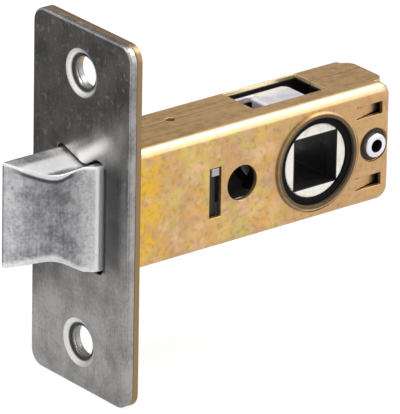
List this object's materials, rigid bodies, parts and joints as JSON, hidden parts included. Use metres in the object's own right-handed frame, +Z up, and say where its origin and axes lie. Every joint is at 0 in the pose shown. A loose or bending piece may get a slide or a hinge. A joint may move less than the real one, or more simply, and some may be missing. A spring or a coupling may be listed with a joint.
{
  "type": "tubular door latch",
  "caption": "Tubular door latch: a bevelled, sprung bolt in a slim pressed case behind a flat faceplate, drawn back by a square-holed follower.",
  "frame": {"origin": "centre of the faceplate's front face", "axes": "+X into the door, along the case; +Z up, along the faceplate; the bolt's bevel faces -Y"},
  "size_m": [0.0654, 0.0234, 0.0576],
  "materials": {
    "satin_nickel": "satin, brushed along its length",
    "yellow_zinc": "yellow-passivated zinc plate, iridescent",
    "bright_steel": "bright zinc plate",
    "cast_zinc": "zinc alloy casting, mottled satin",
    "spring_steel": "oiled spring wire",
    "dark_steel": "sintered steel, blackened and oiled",
    "pale_acetal": "moulded, semi-gloss",
    "black_acetal": "moulded, matt"
  },
  "bodies": {
    "case": {"faceplate": "satin_nickel", "fixing_plate": "yellow_zinc", "case_near_half": "yellow_zinc", "case_far_half": "yellow_zinc", "front_rivets": "bright_steel", "rear_rivet": "bright_steel", "rear_spacer": "bright_steel", "spring_plate": "bright_steel", "spring_guide_pin": "bright_steel", "bolt_spring": "spring_steel", "follower_bush_near": "black_acetal", "follower_bush_far": "black_acetal"},
    "bolt": {"latch_bolt": "cast_zinc", "yoke": "bright_steel", "yoke_rivets": "bright_steel"},
    "follower": {"follower": "dark_steel", "follower_cap_near": "pale_acetal", "follower_cap_far": "pale_acetal"}
  },
  "joints": [
    {"name": "bolt_slide", "type": "slide", "parent": "case", "child": "bolt", "axis": [1, 0, 0], "range_m": [0, 0.0104], "stiffness_N_per_m": 450, "springref_m": -0.01, "deforming": ["bolt_spring"]},
    {"name": "follower_turn", "type": "hinge", "parent": "case", "child": "follower", "pos_m": [0.04, 0, 0], "axis": [0, 1, 0], "range_deg": [0, 80]}
  ],
  "couplings": [
    {"joint": "follower_turn", "follows": "bolt_slide", "rad_per_m": 134.25}
  ]
}
